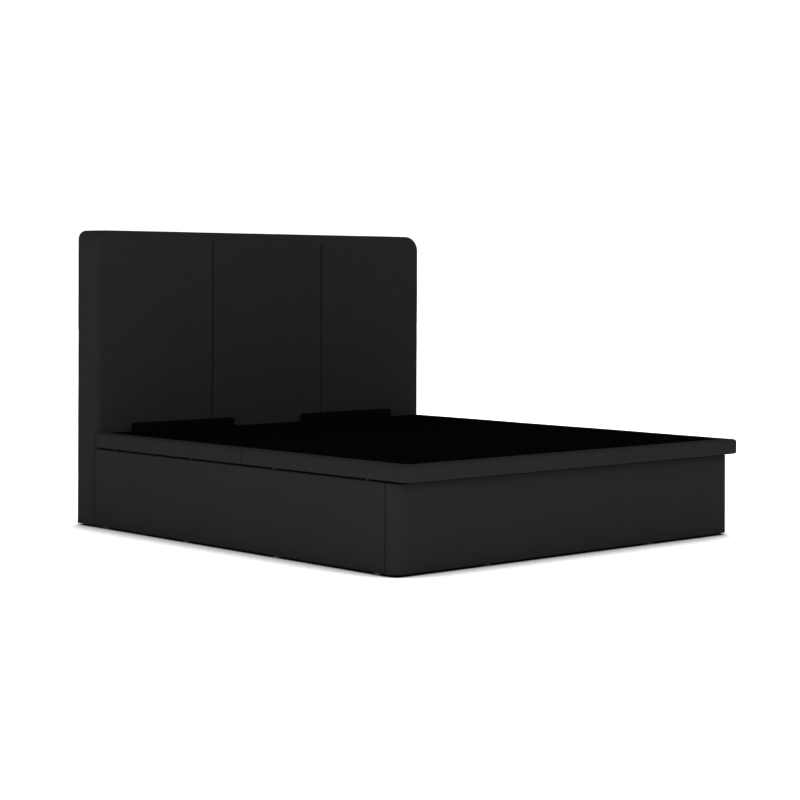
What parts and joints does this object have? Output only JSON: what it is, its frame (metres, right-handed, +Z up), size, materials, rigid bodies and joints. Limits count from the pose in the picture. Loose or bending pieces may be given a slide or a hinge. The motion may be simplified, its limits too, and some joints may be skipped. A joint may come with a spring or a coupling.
{
  "type": "lift-up storage bed",
  "caption": "Upholstered lift-up storage bed: padded panel headboard, padded base box and a hinged platform on gas-sprung linkages, with padded rim and mattress stops.",
  "frame": {"origin": "on the floor, under the centre of the whole bed's box", "axes": "+X to the sleeper's-foot-view right, +Y from the foot towards the headboard, +Z up"},
  "size_m": [1.94, 2.183, 1.312],
  "materials": {
    "charcoal_upholstery": "fine matt woven cloth over foam, charcoal black",
    "black_upholstery": "matt black cloth over a padded batten",
    "black_nonwoven": "flat black nonwoven cloth, no sheen",
    "pine": "sawn and planed softwood, unfinished",
    "panel_board": "chipboard, bare",
    "hardboard": "thin hardboard, dark grey face",
    "black_steel": "satin black powder coat on pressed steel",
    "zinc_steel": "bright zinc plate",
    "polished_rod": "ground and hard-chromed rod",
    "black_plastic": "moulded black plastic",
    "black_rubber": "black rubber"
  },
  "bodies": {
    "base": {"arm_pivot_pins": "zinc_steel", "base_glides": "black_plastic", "base_plate_bolts": "zinc_steel", "base_plate_left": "black_steel", "base_plate_right": "black_steel", "bracket_bolts": "zinc_steel", "corner_brackets_foot": "black_steel", "corner_brackets_head": "black_steel", "floor_bearer": "pine", "floor_board_left": "hardboard", "floor_board_right": "hardboard", "floor_cleats_end": "pine", "floor_cleats_side": "pine", "foot_cover": "charcoal_upholstery", "foot_panel": "panel_board", "head_panel": "panel_board", "headboard_back_panel": "black_nonwoven", "headboard_bolts": "zinc_steel", "headboard_cover": "charcoal_upholstery", "headboard_cross_rails": "pine", "headboard_face_board": "panel_board", "headboard_glides": "black_plastic", "headboard_stile_left": "pine", "headboard_stile_right": "pine", "headboard_top_rail": "pine", "platform_bumpers": "black_rubber", "side_cover_left": "charcoal_upholstery", "side_cover_right": "charcoal_upholstery", "side_panel_left": "panel_board", "side_panel_right": "panel_board", "strut_studs_base": "zinc_steel"},
    "main_arm_left": {"main_arm_left": "black_steel"},
    "main_arm_right": {"main_arm_right": "black_steel"},
    "front_arm_left": {"front_arm_left": "black_steel"},
    "front_arm_right": {"front_arm_right": "black_steel"},
    "strut_cylinder_left": {"strut_cylinder_left": "black_steel"},
    "strut_cylinder_right": {"strut_cylinder_right": "black_steel"},
    "strut_rod_left": {"strut_rod_left": "polished_rod"},
    "strut_rod_right": {"strut_rod_right": "polished_rod"},
    "lid": {"lid_plate_left": "black_steel", "lid_plate_right": "black_steel", "lid_plate_screws": "zinc_steel", "lid_pivot_pins": "zinc_steel", "strut_studs_lid": "zinc_steel", "frame_side_rails_head": "pine", "frame_side_rails_foot": "pine", "frame_head_rail": "pine", "frame_foot_rail": "pine", "frame_joint_rails": "pine", "frame_joint_bolts": "zinc_steel", "platform_slats": "pine", "deck_board_foot": "panel_board", "deck_board_head": "panel_board", "deck_cloth": "black_nonwoven", "rim_cover_foot": "charcoal_upholstery", "rim_cover_left": "charcoal_upholstery", "rim_cover_right": "charcoal_upholstery", "mattress_stop_left": "black_upholstery", "mattress_stop_right": "black_upholstery", "stop_bolts": "zinc_steel"}
  },
  "joints": [
    {"name": "lift", "type": "hinge", "parent": "base", "child": "main_arm_left", "pos_m": [-0.923, 0.5395, 0.3], "axis": [1, 0, 0], "range_deg": [0, 45]},
    {"name": "lid_tilt", "type": "hinge", "parent": "main_arm_left", "child": "lid", "pos_m": [-0.923, 0.7555, 0.334], "axis": [1, 0, 0], "range_deg": [-79.3, 0]},
    {"name": "main_arm_right_turn", "type": "hinge", "parent": "base", "child": "main_arm_right", "pos_m": [0.923, 0.5395, 0.3], "axis": [1, 0, 0], "range_deg": [0, 45.1]},
    {"name": "front_arm_left_turn", "type": "hinge", "parent": "base", "child": "front_arm_left", "pos_m": [-0.91545, 0.1915, 0.1], "axis": [1, 0, 0], "range_deg": [0, 25.3]},
    {"name": "strut_left_swing", "type": "hinge", "parent": "base", "child": "strut_cylinder_left", "pos_m": [-0.894, 0.6935, 0.092], "axis": [1, 0, 0], "range_deg": [0, 30.2]},
    {"name": "strut_left_extend", "type": "slide", "parent": "strut_cylinder_left", "child": "strut_rod_left", "axis": [0, 0.4472, 0.8944], "range_m": [0, 0.1072]},
    {"name": "front_arm_right_turn", "type": "hinge", "parent": "base", "child": "front_arm_right", "pos_m": [0.91545, 0.1915, 0.1], "axis": [1, 0, 0], "range_deg": [0, 25.3]},
    {"name": "strut_right_swing", "type": "hinge", "parent": "base", "child": "strut_cylinder_right", "pos_m": [0.894, 0.6935, 0.092], "axis": [1, 0, 0], "range_deg": [0, 30.2]},
    {"name": "strut_right_extend", "type": "slide", "parent": "strut_cylinder_right", "child": "strut_rod_right", "axis": [0, 0.4472, 0.8944], "range_m": [0, 0.1072]}
  ],
  "couplings": [
    {"joint": "lid_tilt", "follows": "lift", "ratio": -1.76},
    {"joint": "main_arm_right_turn", "follows": "lift", "ratio": 1},
    {"joint": "front_arm_left_turn", "follows": "lift", "ratio": 0.56},
    {"joint": "strut_left_swing", "follows": "lift", "ratio": 0.667},
    {"joint": "strut_left_extend", "follows": "lift", "m_per_rad": 0.1359},
    {"joint": "front_arm_right_turn", "follows": "lift", "ratio": 0.56},
    {"joint": "strut_right_swing", "follows": "lift", "ratio": 0.667},
    {"joint": "strut_right_extend", "follows": "lift", "m_per_rad": 0.1359}
  ]
}
